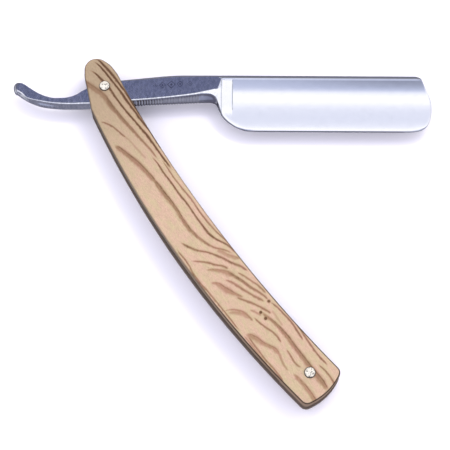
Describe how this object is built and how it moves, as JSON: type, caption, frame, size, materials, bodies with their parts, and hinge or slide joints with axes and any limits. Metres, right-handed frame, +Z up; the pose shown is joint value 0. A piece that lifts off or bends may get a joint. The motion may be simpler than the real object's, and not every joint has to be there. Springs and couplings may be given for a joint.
{
  "type": "straight razor",
  "caption": "Folding straight razor: wide hollow-ground steel blade with shank and curved tail, pivoting on a pin between bowed wooden scales with a butt spacer.",
  "frame": {"origin": "where the pivot axis meets the table: the centre of the small flat on the pivot pin's rear head", "axes": "+X along the blade from the pivot to the toe in the pictured pose, +Y from the cutting edge to the spine, +Z up along the pivot axis, out of the front of the razor"},
  "size_m": [0.1524, 0.1285, 0.0106],
  "materials": {
    "blade_steel": "mirror-polished steel",
    "pin_steel": "polished steel",
    "wood": "satin, light tan with brown streaks",
    "spacer_wood": "satin",
    "brass_washer": "plain"
  },
  "bodies": {
    "handle": {"front_scale": "wood", "back_scale": "wood", "end_wedge": "spacer_wood", "pivot_pin": "pin_steel", "wedge_pin": "pin_steel", "front_pivot_collar": "pin_steel", "back_pivot_collar": "pin_steel", "front_wedge_collar": "pin_steel", "back_wedge_collar": "pin_steel", "front_thrust_washer": "brass_washer", "back_thrust_washer": "brass_washer"},
    "blade": {"blade": "blade_steel"}
  },
  "joints": [
    {"name": "blade_pivot", "type": "hinge", "parent": "handle", "child": "blade", "pos_m": [0, 0, 0], "axis": [0, 0, 1], "range_deg": [-51.5, 264]}
  ]
}
